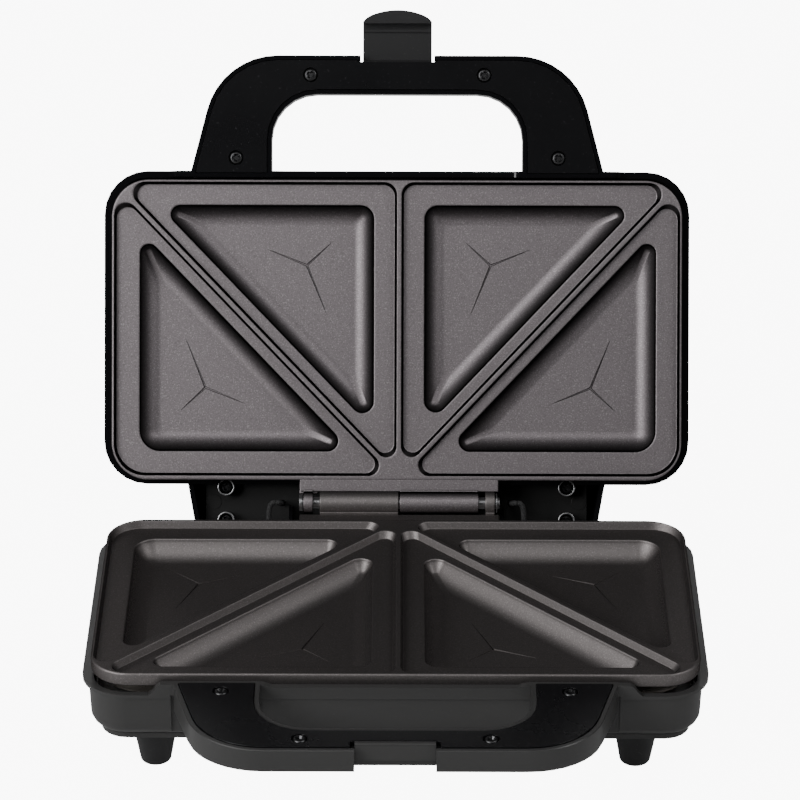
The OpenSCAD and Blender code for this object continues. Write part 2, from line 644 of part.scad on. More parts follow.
module lid_housing() color("#141416") at_lid() {
    difference() {
        union() {
            mirrored() difference() {
                tub(-top_z, 10);
                slab(-16, 0) outline(wall_pts, all4(wall_r), wall_t);
                loft(wall_pts, all4(wall_r), [each edge_round(10, -top_z, wall_t), [wall_t, -15]]);
            }
            rear_shell();
            mirrored() front_panel(flange_z - flange_t);
            mirrored() handle_shell() latch_block(-handle_front, -184.8, -20, block_z);
            for (x = [-lid_screw_x, lid_screw_x], y = lid_screw_y) translate([x, y, rear_panel_z + 2])
                cylinder(h = top_z - rear_panel_z - 3, r = 3.2);
        }
        // Way through the rear wall for the deck panel
        translate([-ext_tip + wall_t + 0.6, -14, rear_panel_z - 0.3])
            cube([2 * (ext_tip - wall_t - 0.6), 8, top_z - wall_t - rear_panel_z - 3]);
        for (x = [-lid_screw_x, lid_screw_x]) {
            translate([x, lid_screw_y[0], 0]) cylinder(h = rear_panel_z + 2, r = 3.95);
            for (y = lid_screw_y) translate([x, y, 0]) cylinder(h = 30, r = 1.35);
        }
        mirrored() slot_cut(-handle_front - 1, -193.3);
        mirrored() translate([-slot_w, -194, -11]) cube([2 * slot_w, 7.4, 20]);
        translate([0, pivot[0], pivot[1]]) {
            x_rod(-slot_w, slot_w, 5);
            x_rod(-slot_w - 3, slot_w + 3, latch_pin_r + 0.02);
        }
        for (s = [-1, 1]) translate([s * lamp_at[0], lamp_at[1], 20]) cylinder(h = 20, r = lamp_r + 0.1);
    }
    stop_ribs();
}

module lid_deck() color("#1a1a1c") at_lid() difference() {
    union() {
        mirrored() slab(deck_z - deck_t, deck_z) outline(wall_pts, all4(wall_r), wall_t + 0.35);
        difference() {
            translate([-ext_tip + wall_t + 1, -13, rear_panel_z])
                cube([2 * (ext_tip - wall_t - 1), 13 + rear_y - wall_t - 1.2, 2]);
            stop_ribs();
        }
        translate([-ext_tip + wall_t + 1, -13, -deck_z])
            cube([2 * (ext_tip - wall_t - 1), 2, rear_panel_z + 2 + deck_z]);
        for (x = [-lid_screw_x, lid_screw_x], y = lid_screw_y) translate([x, y, 13.4])
            cylinder(h = rear_panel_z - 13, r = 3.7);
    }
    for (x = [-lid_screw_x, lid_screw_x], y = lid_screw_y) translate([x, y, 13]) {
        cylinder(h = 3.8, r = 3.15);
        cylinder(h = 12, r = 1.5);
    }
    for (p = post_xy) translate([p[0], p[1], 10]) cylinder(h = 30, r = 1.7);
    for (s = [-1, 1]) translate([s * elem_gap / 2, elem_back, 10]) cylinder(h = 30, r = elem_r + 0.6);
    for (x = [-lead_x, lead_x]) translate([x, 1, 10]) cylinder(h = 20, r = sleeve_r + 0.3);
}

module lid_rear_screws() color("#b4b4b6") at_lid()
    for (x = [-lid_screw_x, lid_screw_x], y = lid_screw_y)
        translate([x, y, 16.8]) rotate([180, 0, x]) screw(2.7, 10, 1.6);

module lid_handle_cover() color("#17171a") at_lid() mirrored() difference() {
    handle_cover(-192.9);
    translate([0, pivot[0], -pivot[1]]) x_rod(-notch_w, notch_w, hub_r + 0.35);
}

module lid_handle_screws() color("#a8a8aa") at_lid() mirrored() handle_screws();

module lid_plate() color("#6e6865") at_lid() turned()
    translate([0, -hinge_back, rim_z]) cast_plate(-knuckle_shift, pin_r + 0.06);

module lid_plate_screws() color("#b8b8b8") at_lid() mirrored() plate_screws();
module lid_element() color("#8e8a86") at_lid() mirrored() element();
module lid_element_saddles() color("#c9c9c9") at_lid() mirrored() saddles();
module lid_reflector() color("#d6d6d6") at_lid() mirrored() reflector();

module lamp_holder() color("#dcd8cc") at_lid() difference() {
    translate([-22, lamp_at[1] - 8, 21]) cube([44, 16, 8]);
    for (s = [-1, 1]) translate([s * lamp_at[0], lamp_at[1], 24]) cylinder(h = 10, r = lamp_r + 0.1);
}

module lamp_lens(x) {
    translate([x, lamp_at[1], 24]) difference() {
        union() {
            cylinder(h = top_z - 24 + 0.4, r = lamp_r);
            translate([0, 0, top_z - 24 + 0.4]) cylinder(h = 0.8, r1 = lamp_r, r2 = lamp_r - 1);
        }
        translate([0, 0, -e]) cylinder(h = 6, r = 2.6);
    }
}

module power_lamp_lens() color("#c8281e") at_lid() lamp_lens(-lamp_at[0]);
module ready_lamp_lens() color("#2f9a3c") at_lid() lamp_lens(lamp_at[0]);

module lid_wiring() color("#c2392f") at_lid() {
    for (s = [-1, 1]) {
        wire([[s * lead_x, 1, 24.5], [s * lead_x, 0.8, 26], [s * 48, -4, 27], [s * 38, -14, 26.6],
              [s * 18, -26, 26], [s * 13.4, -26, 25.2], [s * 13, -22.4, 24.6], [s * 13, -19, 24.6]], 1.2);
        wire([[s * 18, -28, 26], [s * 26, -33, 26], [s * 26.4, -38, 25.6], [s * 24.6, -40, 25.5],
              [s * 22.3, -40, 25.5]], 0.8);
    }
}

module lid_lead_sleeves() color("#19191b") at_lid() both_sides() wire(lid_lead, sleeve_r, 12);

// Latch, drawn pointing outwards from its pivot

dome_r = 30;
dome_corner = [4, 1.4];

// Height of the domed tip at x, with its corners let down
function dome(x) = let (past = max(0, abs(x) - latch_w / 2 + dome_corner[0]) / dome_corner[0])
    latch_len - dome_r + sqrt(dome_r * dome_r - x * x) - dome_corner[1] * (1 - sqrt(max(0, 1 - past * past)));

module latch_face() {
    polygon([[-latch_w / 2, -1], [latch_w / 2, -1],
             for (a = [90:-5:-90]) [latch_w / 2 * sin(a), dome(latch_w / 2 * sin(a))]]);
}

module latch_pin() color("#c6c6c8") at_lid() translate([0, pivot[0], pivot[1]])
    x_rod(-slot_w - 1.7, slot_w + 1.7, latch_pin_r);

module latch() color("#3b3b3e") at_lid() translate([0, pivot[0], pivot[1]]) mirror([0, 1, 0]) difference() {
    union() {
        translate([0, 0, leg_v[0]]) linear_extrude(leg_v[1] - leg_v[0]) latch_face();
        translate([0, 0, -2.5]) linear_extrude(2.5 + leg_v[0] + e) intersection() {
            latch_face();
            translate([-latch_w, lip_u]) square([2 * latch_w, 20]);
        }
        translate([-latch_w / 2, ridge_u, leg_v[0] - 0.8]) cube([latch_w, 1.2, 1]);
        x_rod(-latch_w / 2, latch_w / 2, hub_r);
    }
    x_rod(-latch_w, latch_w, latch_pin_r + 0.06);
}

base_housing();
base_bottom_cover();
foot_front_left();
foot_front_right();
foot_rear_left();
foot_rear_right();
base_cover_screws();
base_handle_cover();
base_handle_screws();
base_plate();
base_plate_screws();
base_element();
base_element_saddles();
base_reflector();
thermostat();
thermal_fuse();
terminal_block();
cord_bushing();
base_wiring();
base_lead_sleeves();
hinge_pin();
hinge_clip();
lid_housing();
lid_deck();
lid_rear_screws();
lid_handle_cover();
lid_handle_screws();
lid_plate();
lid_plate_screws();
lid_element();
lid_element_saddles();
lid_reflector();
lamp_holder();
power_lamp_lens();
ready_lamp_lens();
lid_wiring();
lid_lead_sleeves();
latch_pin();
latch();
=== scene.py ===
import bmesh
import bpy
import json
from math import pi, radians, sin, tan
from mathutils import Matrix, Vector
from mathutils.geometry import interpolate_bezier


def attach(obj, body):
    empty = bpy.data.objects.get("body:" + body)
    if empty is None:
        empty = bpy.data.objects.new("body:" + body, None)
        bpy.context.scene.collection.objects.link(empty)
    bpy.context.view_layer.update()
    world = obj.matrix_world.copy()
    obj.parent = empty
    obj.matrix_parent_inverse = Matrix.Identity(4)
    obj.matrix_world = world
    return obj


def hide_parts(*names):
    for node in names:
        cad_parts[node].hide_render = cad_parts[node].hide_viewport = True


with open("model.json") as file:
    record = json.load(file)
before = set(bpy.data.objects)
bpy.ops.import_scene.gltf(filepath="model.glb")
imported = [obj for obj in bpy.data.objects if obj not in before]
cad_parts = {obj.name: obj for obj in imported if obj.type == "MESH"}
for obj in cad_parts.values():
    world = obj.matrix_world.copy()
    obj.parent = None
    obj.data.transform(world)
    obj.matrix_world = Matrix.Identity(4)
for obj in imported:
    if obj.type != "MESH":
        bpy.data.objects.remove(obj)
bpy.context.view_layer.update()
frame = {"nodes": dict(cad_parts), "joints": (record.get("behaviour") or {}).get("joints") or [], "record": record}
nodes = frame["nodes"]
mm = 0.001

# Pieces are drawn in millimetres round the hinge axis, the lid's as if it were closed
joints = {j["name"]: j for j in frame["joints"]}
hingeAxis = Vector(joints["lid_hinge"]["pos_m"])
openAngle = radians(115.8)
baseSpace = Matrix.Translation(hingeAxis) @ Matrix.Scale(mm, 4)
lidSpace = Matrix.Translation(hingeAxis) @ Matrix.Rotation(-openAngle, 4, "X") @ Matrix.Scale(mm, 4)
lidTurnedOver = lidSpace @ Matrix.Rotation(pi, 4, "Y")

# Shared helpers


def finishMesh(bm, name, space):
    bm.transform(space)
    mesh = bpy.data.meshes.new(name)
    bm.to_mesh(mesh)
    bm.free()
    obj = bpy.data.objects.new(name, mesh)
    bpy.context.scene.collection.objects.link(obj)
    return obj


def newMaterial(name, colour, roughness, metallic=0.0, specular=0.5):
    mat = bpy.data.materials.new(name)
    mat.use_nodes = True
    shader = mat.node_tree.nodes["Principled BSDF"]
    shader.inputs["Base Color"].default_value = (*colour, 1)
    shader.inputs["Roughness"].default_value = roughness
    shader.inputs["Metallic"].default_value = metallic
    shader.inputs["Specular IOR Level"].default_value = specular
    return mat, shader


def smoothShade(obj, sharpAngle=38):
    for face in obj.data.polygons:
        face.use_smooth = True
    obj.data.set_sharp_from_angle(angle=radians(sharpAngle))
    keepFlats = obj.modifiers.new("keepFlats", "WEIGHTED_NORMAL")
    keepFlats.keep_sharp = True
    keepFlats.weight = 100


def wear(obj, material, body):
    obj.data.materials.clear()
    obj.data.materials.append(material)
    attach(obj, body)


def breakEdges(bm, edges, width, steps):
    bmesh.ops.bevel(bm, geom=edges, offset=width, offset_type="OFFSET", segments=steps, profile=0.5,
                    affect="EDGES", clamp_overlap=True, material=-1)


def edgesOf(verts):
    return list(dict.fromkeys(e for v in verts for e in v.link_edges))


def addCircle(bm, radius, steps, space):
    made = bmesh.ops.create_circle(bm, cap_ends=False, radius=radius, segments=steps, matrix=space)
    return edgesOf(made["verts"])


def bridgeRings(bm, rings):
    for low, high in zip(rings, rings[1:]):
        bmesh.ops.bridge_loops(bm, edges=low + high)


def cutWith(obj, cutter):
    carve = obj.modifiers.new("carve", "BOOLEAN")
    carve.operation = "DIFFERENCE"
    carve.solver = "EXACT"
    carve.use_self = True
    carve.object = cutter
    bpy.context.view_layer.update()
    depsgraph = bpy.context.evaluated_depsgraph_get()
    cut = bpy.data.meshes.new_from_object(obj.evaluated_get(depsgraph))
    obj.modifiers.remove(carve)
    obj.data = cut
    bpy.data.objects.remove(cutter)


cadCopy = {"weldGap": 0.004, "flatAngle": 0.5}


# A copy of a CAD node with its loose triangles joined and its sharp edges broken
def softened(name, node, edge=0.3, sharpAngle=30):
    bm = bmesh.new()
    bm.from_mesh(nodes[node].data)
    bmesh.ops.remove_doubles(bm, verts=bm.verts, dist=cadCopy["weldGap"] * mm)
    flat = radians(cadCopy["flatAngle"])
    bmesh.ops.dissolve_limit(bm, angle_limit=flat, verts=bm.verts, edges=bm.edges)
    corners = [e for e in bm.edges if e.is_manifold and e.calc_face_angle(0) > radians(sharpAngle)]
    breakEdges(bm, corners, edge * mm, 2)
    obj = finishMesh(bm, name, Matrix.Identity(4))
    smoothShade(obj)
    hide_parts(node)
    return obj


# Shader nodes and groups


def fillSocket(tree, socket, entry):
    if isinstance(entry, bpy.types.NodeSocket):
        tree.links.new(entry, socket)
    else:
        socket.default_value = entry


def noiseNode(tree, coords, scale, detail):
    noise = tree.nodes.new("ShaderNodeTexNoise")
    noise.inputs["Detail"].default_value = detail
    tree.links.new(coords, noise.inputs["Vector"])
    fillSocket(tree, noise.inputs["Scale"], scale)
    return noise.outputs["Fac"]


def rangeNode(tree, value, low, high, outLow, outHigh):
    node = tree.nodes.new("ShaderNodeMapRange")
    tree.links.new(value, node.inputs["Value"])
    for label, entry in (("From Min", low), ("From Max", high), ("To Min", outLow), ("To Max", outHigh)):
        fillSocket(tree, node.inputs[label], entry)
    return node.outputs["Result"]


def mixColour(tree, factor, a, b):
    node = tree.nodes.new("ShaderNodeMix")
    node.data_type = "RGBA"
    for socket, entry in ((node.inputs["Factor"], factor), (node.inputs[6], a), (node.inputs[7], b)):
        fillSocket(tree, socket, entry)
    return node.outputs[2]


def scaledAndRaised(tree, value, factor, start):
    node = tree.nodes.new("ShaderNodeMath")
    node.operation = "MULTIPLY_ADD"
    for socket, entry in zip(node.inputs, (value, factor, start)):
        tree.links.new(entry, socket)
    return node.outputs[0]


def newGroup(name, inputs, outputs):
    group = bpy.data.node_groups.new(name, "ShaderNodeTree")
    for label, kind, value in inputs:
        socket = group.interface.new_socket(label, in_out="INPUT", socket_type=kind)
        socket.default_value = value
    for label, kind in outputs:
        group.interface.new_socket(label, in_out="OUTPUT", socket_type=kind)
    into, out = group.nodes.new("NodeGroupInput"), group.nodes.new("NodeGroupOutput")
    return group, into.outputs, out.inputs


def placeGroup(tree, group, values):
    node = tree.nodes.new("ShaderNodeGroup")
    node.node_tree = group
    for label, value in values.items():
        node.inputs[label].default_value = (*value, 1) if isinstance(value, tuple) else value
    return node.outputs


def addBump(tree, shader, height, distance):
    bump = tree.nodes.new("ShaderNodeBump")
    bump.inputs["Strength"].default_value = 1.0
    bump.inputs["Distance"].default_value = distance * mm
    tree.links.new(height, bump.inputs["Height"])
    tree.links.new(bump.outputs["Normal"], shader.inputs["Normal"])


fleckGrain = {
    # scale, and the noise values between which an effect grows to its amount
    "darkScale": 1150, "darkRange": (0.48, 0.3), "darkAmount": 0.3,
    "paleRange": (0.54, 0.76), "paleAmount": 0.7,
    "toneScale": 16, "heightRange": (0.25, 0.75),
}


# Baked-on coating: fine pale and dark flecks over a slowly changing tone, and a pebbled skin
def makeFleckGroup():
    group, into, out = newGroup(
        "coatingFlecks",
        [("Colour", "NodeSocketColor", (0.3, 0.3, 0.3, 1)),
         ("Pale Fleck", "NodeSocketColor", (0.6, 0.6, 0.6, 1)),
         ("Dark Fleck", "NodeSocketColor", (0.1, 0.1, 0.1, 1)),
         ("Fleck Scale", "NodeSocketFloat", 1500.0),
         ("Roughness", "NodeSocketFloat", 0.45),
         ("Unevenness", "NodeSocketFloat", 0.06)],
        [("Colour", "NodeSocketColor"), ("Roughness", "NodeSocketFloat"), ("Height", "NodeSocketFloat")])
    coords = group.nodes.new("ShaderNodeTexCoord").outputs["Object"]
    fine = noiseNode(group, coords, into["Fleck Scale"], 2)
    coarse = noiseNode(group, coords, fleckGrain["darkScale"], 1)
    tone = noiseNode(group, coords, fleckGrain["toneScale"], 4)
    dark = rangeNode(group, coarse, *fleckGrain["darkRange"], 0, fleckGrain["darkAmount"])
    pale = rangeNode(group, fine, *fleckGrain["paleRange"], 0, fleckGrain["paleAmount"])
    toned = mixColour(group, dark, into["Colour"], into["Dark Fleck"])
    flecked = mixColour(group, pale, toned, into["Pale Fleck"])
    group.links.new(flecked, out["Colour"])
    uneven = scaledAndRaised(group, tone, into["Unevenness"], into["Roughness"])
    group.links.new(uneven, out["Roughness"])
    group.links.new(rangeNode(group, fine, *fleckGrain["heightRange"], 0, 1), out["Height"])
    return group


mouldGrain = {"cloudScale": 24, "speckScale": 900, "speckRange": (0.66, 0.78)}


# Moulded plastic: a fine spark-eroded grain, cloudy gloss and a trace of dust
def makeMouldGroup():
    group, into, out = newGroup(
        "mouldedSkin",
        [("Colour", "NodeSocketColor", (0.02, 0.02, 0.02, 1)),
         ("Dust Colour", "NodeSocketColor", (0.2, 0.2, 0.2, 1)),
         ("Dust", "NodeSocketFloat", 0.08),
         ("Grain Scale", "NodeSocketFloat", 2600.0),
         ("Roughness", "NodeSocketFloat", 0.3),
         ("Cloudiness", "NodeSocketFloat", 0.1)],
        [("Colour", "NodeSocketColor"), ("Roughness", "NodeSocketFloat"), ("Height", "NodeSocketFloat")])
    coords = group.nodes.new("ShaderNodeTexCoord").outputs["Object"]
    grain = noiseNode(group, coords, into["Grain Scale"], 2)
    cloud = noiseNode(group, coords, mouldGrain["cloudScale"], 5)
    specks = noiseNode(group, coords, mouldGrain["speckScale"], 2)
    dusty = rangeNode(group, specks, *mouldGrain["speckRange"], 0, into["Dust"])
    group.links.new(mixColour(group, dusty, into["Colour"], into["Dust Colour"]), out["Colour"])
    cloudy = scaledAndRaised(group, cloud, into["Cloudiness"], into["Roughness"])
    group.links.new(cloudy, out["Roughness"])
    group.links.new(grain, out["Height"])
    return group


# Clear plastic with small moulded cells behind its face
def makeCellGroup():
    group, into, out = newGroup(
        "lensCells",
        [("Tint", "NodeSocketColor", (0.7, 0.1, 0.1, 1)),
         ("Deep Tint", "NodeSocketColor", (0.4, 0.06, 0.06, 1)),
         ("Cell Scale", "NodeSocketFloat", 900.0)],
        [("Colour", "NodeSocketColor"), ("Height", "NodeSocketFloat")])
    coords = group.nodes.new("ShaderNodeTexCoord").outputs["Object"]
    cells = group.nodes.new("ShaderNodeTexVoronoi")
    group.links.new(coords, cells.inputs["Vector"])
    group.links.new(into["Cell Scale"], cells.inputs["Scale"])
    distance = cells.outputs["Distance"]
    group.links.new(mixColour(group, distance, into["Deep Tint"], into["Tint"]), out["Colour"])
    group.links.new(distance, out["Height"])
    return group


# Painted shade: where a coating is seen at a slant its colour is painted dark, standing in for the shade on steep
# walls
def coatedMaterial(name, group, bump, values, metallic=0.0, specular=0.5, paintedSlantShade=None):
    mat, shader = newMaterial(name, values["Colour"], values["Roughness"], metallic, specular)
    tree = mat.node_tree
    skin = placeGroup(tree, group, values)
    colour = skin["Colour"]
    # painted shade on surfaces seen at a slant
    if paintedSlantShade:
        shader.inputs["Specular Tint"].default_value = (*paintedSlantShade["edgeTint"], 1)
        slant = tree.nodes.new("ShaderNodeLayerWeight")
        slant.inputs["Blend"].default_value = 0.5
        paintedShadeShare = rangeNode(tree, slant.outputs["Facing"], paintedSlantShade["from"], paintedSlantShade["to"], 0, 1)
        colour = mixColour(tree, paintedShadeShare, colour, (*paintedSlantShade["colour"], 1))
    tree.links.new(colour, shader.inputs["Base Color"])
    tree.links.new(skin["Roughness"], shader.inputs["Roughness"])
    addBump(tree, shader, skin["Height"], bump)
    return mat


lens = {
    "red": (0.75, 0.03, 0.02), "green": (0.05, 0.6, 0.1), "deepShare": 0.6,
    "roughness": 0.12, "clear": 0.55, "bump": 0.05,
}


def lensMaterial(name, tint):
    mat, shader = newMaterial(name, tint, lens["roughness"])
    shader.inputs["Transmission Weight"].default_value = lens["clear"]
    tree = mat.node_tree
    deepTint = tuple(c * lens["deepShare"] for c in tint)
    cells = placeGroup(tree, cellGroup, {"Tint": tint, "Deep Tint": deepTint})
    tree.links.new(cells["Colour"], shader.inputs["Base Color"])
    addBump(tree, shader, cells["Height"], lens["bump"])
    return mat


braid = {
    "scale": 420, "turn": 40, "roughness": 0.7, "bump": 0.15,
    "valley": (0.005, 0.005, 0.005), "strand": (0.035, 0.035, 0.036),
}


# Braided sleeving: crossed strands from two wave patterns
def braidMaterial():
    mat, shader = newMaterial("braidSleeve", braid["valley"], braid["roughness"])
    tree = mat.node_tree
    coords = tree.nodes.new("ShaderNodeTexCoord").outputs["Object"]
    weave = tree.nodes.new("ShaderNodeMath")
    weave.operation = "MAXIMUM"
    for turn, socket in zip((braid["turn"], -braid["turn"]), weave.inputs):
        mapping = tree.nodes.new("ShaderNodeMapping")
        mapping.inputs["Rotation"].default_value = [radians(turn)] * 3
        wave = tree.nodes.new("ShaderNodeTexWave")
        wave.inputs["Scale"].default_value = braid["scale"]
        tree.links.new(coords, mapping.inputs["Vector"])
        tree.links.new(mapping.outputs["Vector"], wave.inputs["Vector"])
        tree.links.new(wave.outputs["Fac"], socket)
    colour = mixColour(tree, weave.outputs[0], (*braid["valley"], 1), (*braid["strand"], 1))
    tree.links.new(colour, shader.inputs["Base Color"])
    addBump(tree, shader, weave.outputs[0], braid["bump"])
    return mat


fleckGroup = makeFleckGroup()
mouldGroup = makeMouldGroup()
cellGroup = makeCellGroup()

coatings = {
    # bump is in millimetres; from and to say how far round the painted slant shade darkens the coating
    "lidCoating": {
        "bump": 0.03, "metallic": 1.0,
        "paintedSlantShade": {"colour": (0.012, 0.011, 0.011), "edgeTint": (0.05, 0.048, 0.048),
                 "from": 0.03, "to": 0.5},
        "values": {"Colour": (0.32, 0.29, 0.302), "Pale Fleck": (0.66, 0.62, 0.63),
                   "Dark Fleck": (0.16, 0.14, 0.145), "Fleck Scale": 1900.0,
                   "Roughness": 0.52, "Unevenness": 0.06}},
    # Painted shade: the same coating as the lid's, painted darker all over to stand in for the weaker light on the
    # base plate's upward-facing surfaces
    "baseCoatingPaintedShade": {
        "bump": 0.03, "metallic": 1.0,
        "paintedSlantShade": {"colour": (0.012, 0.011, 0.011), "edgeTint": (0.05, 0.048, 0.048),
                 "from": 0.12, "to": 1.5},
        "values": {"Colour": (0.27, 0.25, 0.246), "Pale Fleck": (0.48, 0.445, 0.445),
                   "Dark Fleck": (0.18, 0.165, 0.165), "Fleck Scale": 1900.0,
                   "Roughness": 0.52, "Unevenness": 0.06}},
}
skins = {
    # name: colour, dust colour, dust, grain scale, roughness, cloudiness, bump, metallic, specular
    "lidGloss": ((0.006, 0.006, 0.007), (0.08, 0.08, 0.08), 0.12, 1200, 0.10, 0.08, 0.002, 0, 0.5),
    "baseSatin": ((0.048, 0.0475, 0.047), (0.1, 0.1, 0.1), 0.2, 2600, 0.30, 0.12, 0.010, 0, 0.5),
    "coverGloss": ((0.007, 0.007, 0.008), (0.12, 0.12, 0.13), 0.25, 1500, 0.22, 0.14, 0.004, 0, 0.3),
    "deckPlain": ((0.006, 0.006, 0.006), (0.06, 0.06, 0.06), 0.2, 1800, 0.42, 0.1, 0.006, 0, 0.5),
    "latchSatin": ((0.024, 0.024, 0.025), (0.15, 0.15, 0.15), 0.2, 2400, 0.32, 0.1, 0.008, 0, 0.5),
    "footSatin": ((0.012, 0.012, 0.013), (0.1, 0.1, 0.1), 0.3, 2200, 0.34, 0.1, 0.008, 0, 0.5),
    "blackRubber": ((0.010, 0.010, 0.010), (0.16, 0.15, 0.14), 0.5, 1900, 0.62, 0.1, 0.02, 0, 0.5),
    "ivoryCeramic": ((0.72, 0.68, 0.58), (0.45, 0.4, 0.33), 0.4, 1500, 0.55, 0.15, 0.01, 0, 0.5),
    "siliconeRed": ((0.42, 0.04, 0.03), (0.5, 0.3, 0.28), 0.3, 2000, 0.5, 0.1, 0.006, 0, 0.5),
    "screwZinc": ((0.09, 0.09, 0.093), (0.02, 0.02, 0.02), 0.8, 1400, 0.26, 0.25, 0.006, 1, 0.5),
    "plainSteel": ((0.45, 0.45, 0.46), (0.2, 0.19, 0.18), 0.6, 1400, 0.28, 0.2, 0.004, 1, 0.5),
    "heaterSheath": ((0.24, 0.22, 0.2), (0.1, 0.08, 0.07), 0.9, 900, 0.42, 0.3, 0.01, 1, 0.5),
    "brightSheet": ((0.72, 0.72, 0.72), (0.4, 0.4, 0.4), 0.4, 700, 0.3, 0.25, 0.006, 1, 0.5),
}
skinSockets = ("Colour", "Dust Colour", "Dust", "Grain Scale", "Roughness", "Cloudiness")

print("finishes")
finishes = {"braidSleeve": braidMaterial(),
            "redLens": lensMaterial("redLens", lens["red"]),
            "greenLens": lensMaterial("greenLens", lens["green"])}
for name, look in coatings.items():
    finishes[name] = coatedMaterial(name, fleckGroup, **look)
for name, (*values, bump, metallic, specular) in skins.items():
    values = dict(zip(skinSockets, values))
    finishes[name] = coatedMaterial(name, mouldGroup, bump, values, metallic, specular)

# Camera, light and floor

view = {
    "fromHinge": (0.0015, -1.5354, 0.8250),
    "downTilt": 26.77,
    "roll": 0.15,
    "lens": 179.32,
}


def addCamera():
    camData = bpy.data.cameras.new("camera")
    camData.lens = view["lens"]
    camData.sensor_width = 36
    camData.clip_end = 50
    cam = bpy.data.objects.new("camera", camData)
    cam.location = hingeAxis + Vector(view["fromHinge"])
    tilted = Matrix.Rotation(radians(90 - view["downTilt"]), 4, "X")
    cam.rotation_euler = (tilted @ Matrix.Rotation(radians(view["roll"]), 4, "Z")).to_euler()
    bpy.context.scene.collection.objects.link(cam)
    bpy.context.scene.camera = cam


lamps = {
    # name: place in metres, width, height, watts
    "keyLeft": ((-1.35, -1.15, 1.05), 0.9, 0.9, 21),
    "topFront": ((-0.5, -0.85, 1.6), 1.2, 0.4, 4.5),
    "sideLeft": ((-1.25, -0.2, 1.25), 0.5, 0.5, 2),
    "sideRight": ((1.2, -0.45, 1.35), 0.6, 0.6, 7),
    "edgeLeft": ((-1.6, -0.6, 0.35), 0.15, 1.2, 2),
    "edgeRight": ((1.6, -0.6, 0.35), 0.15, 1.2, 1.4),
    "backHigh": ((-0.1, 1.5, 0.85), 1.4, 0.3, 2.8),
}
lampAim = Vector((0, 0.02, 0.1))
worldLight = 0.02


def addLamps():
    for name, (place, width, height, watts) in lamps.items():
        lampData = bpy.data.lights.new(name, "AREA")
        lampData.shape = "RECTANGLE"
        lampData.size = width
        lampData.size_y = height
        lampData.energy = watts
        lamp = bpy.data.objects.new(name, lampData)
        lamp.location = place
        lamp.rotation_euler = (lampAim - Vector(place)).to_track_quat("-Z", "Y").to_euler()
        bpy.context.scene.collection.objects.link(lamp)
    world = bpy.data.worlds.new("studio")
    world.use_nodes = True
    background = world.node_tree.nodes["Background"]
    background.inputs["Color"].default_value = (1, 1, 1, 1)
    background.inputs["Strength"].default_value = worldLight
    bpy.context.scene.world = world


table = {"halfWidth": 6, "grey": (0.6, 0.6, 0.6), "roughness": 0.7, "glowSeen": 9.0, "glowCast": 0.1}


def addFloor():
    bm = bmesh.new()
    bmesh.ops.create_grid(bm, x_segments=1, y_segments=1, size=table["halfWidth"])
    floor = finishMesh(bm, "floor", Matrix.Identity(4))
    pale, shader = newMaterial("paleFloor", table["grey"], table["roughness"])
    tree = pale.node_tree
    toCamera = tree.nodes.new("ShaderNodeLightPath").outputs["Is Camera Ray"]
    glow = rangeNode(tree, toCamera, 0, 1, table["glowCast"], table["glowSeen"])
    shader.inputs["Emission Color"].default_value = (1, 1, 1, 1)
    tree.links.new(glow, shader.inputs["Emission Strength"])
    floor.data.materials.append(pale)


# Outlines


def edgesMovedIn(corners, distances):
    moved = []
    for i, corner in enumerate(corners):
        here = Vector(corner)
        before = (Vector(corners[i - 1]) - here).normalized()
        after = (Vector(corners[(i + 1) % len(corners)]) - here).normalized()
        spread = abs(before.x * after.y - before.y * after.x)
        moved.append(here + before * distances[i] / spread + after * distances[i - 1] / spread)
    return moved


# Each corner is one point swung round the middle of its arc
def roundedOutline(corners, radii, steps):
    outline = []
    for i, corner in enumerate(corners):
        here = Vector((*corner, 0))
        before = (Vector((*corners[i - 1], 0)) - here).normalized()
        after = (Vector((*corners[(i + 1) % len(corners)], 0)) - here).normalized()
        half = before.angle(after) / 2
        middle = here + (before + after).normalized() * radii[i] / sin(half)
        way = 1 if before.cross(after).z < 0 else -1
        bm = bmesh.new()
        start = bm.verts.new(here + before * radii[i] / tan(half))
        bmesh.ops.spin(bm, geom=[start], cent=middle, axis=(0, 0, way), angle=pi - 2 * half,
                       steps=steps)
        outline += [v.co.xy.copy() for v in bm.verts]
        bm.free()
    area = sum(a.x * b.y - b.x * a.y for a, b in zip(outline, outline[1:] + outline[:1]))
    return outline if area > 0 else outline[::-1]


def addRing(bm, outline, z):
    ring = [bm.verts.new((p[0], p[1], z)) for p in outline]
    return [bm.edges.new((a, b)) for a, b in zip(ring, ring[1:] + ring[:1])]


leastShare = 0.35  # of its first radius, that a corner keeps as its rings move in


# Rings of one rounded outline at several insets and heights, bridged into a skin
def addSkin(bm, corners, radii, profile, steps, tighten=1.0):
    rings = []
    for inset, z in profile:
        inner = edgesMovedIn(corners, [inset] * len(corners))
        tight = [max(r - tighten * inset, leastShare * r) for r in radii]
        rings.append(addRing(bm, roundedOutline(inner, tight, steps), z))
    bridgeRings(bm, rings)
    return rings[0], rings[-1]


# Cast plates

